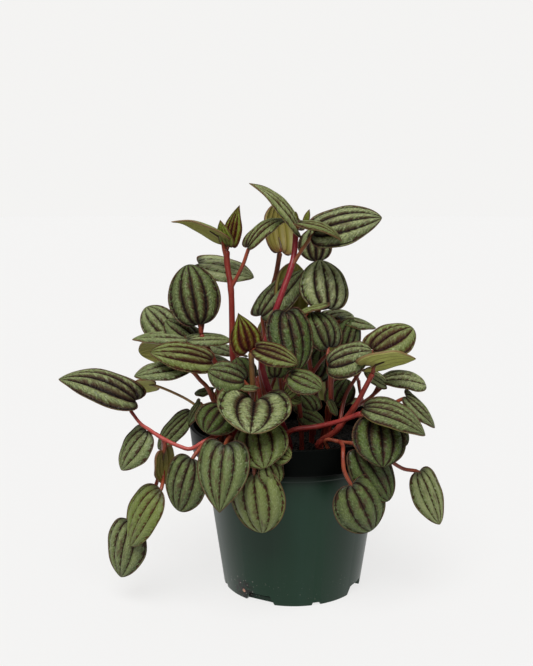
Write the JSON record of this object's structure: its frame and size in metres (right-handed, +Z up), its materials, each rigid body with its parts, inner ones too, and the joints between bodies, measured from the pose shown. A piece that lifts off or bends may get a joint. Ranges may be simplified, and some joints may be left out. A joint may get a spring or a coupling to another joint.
{
  "type": "potted peperomia",
  "caption": "Trailing house plant with heart-shaped, ribbed leaves on thin arching stems, growing in a round tapered nursery pot filled with soil.",
  "frame": {"origin": "centre of the pot's base, on the plane that the pot stands on", "axes": "+Z up along the pot's axis; the plant's front, which the viewer sees, looks along -Y; +X to the viewer's right"},
  "size_m": [0.1906, 0.1494, 0.2095],
  "materials": {
    "pot_green": "dark green moulded polypropylene with a soft satin sheen",
    "soil": "damp, nearly black mix of peat and fine bark",
    "leaf": "silvery grey-green upper face with sunken dark purple-brown veins, thin red margin and olive underside; fleshy, with a soft sheen",
    "stem": "smooth, juicy deep red stems and orange-red leaf stalks"
  },
  "bodies": {
    "root": {"pot": "pot_green", "soil": "soil", "leafy_stem_tall_left": "leaf", "leafy_stem_left": "leaf", "leafy_stem_left_low": "leaf", "leafy_stem_trailing": "leaf", "leafy_stem_front": "leaf", "leafy_stem_centre": "leaf", "leafy_stem_back_centre": "leaf", "leafy_stem_tall_right": "leaf", "leafy_stem_middle_right": "leaf", "leafy_stem_back_right": "leaf", "leafy_stem_right_upright": "leaf", "leafy_stem_right": "leaf", "leafy_stem_right_low": "leaf", "leafy_stem_right_hanging": "leaf", "leafy_stem_centre_right": "leaf", "leafy_stem_back_a": "leaf", "leafy_stem_back_b": "leaf", "leafy_stem_back_c": "leaf", "leafy_stem_back_d": "leaf", "leafy_stem_back_e": "leaf"}
  },
  "joints": []
}
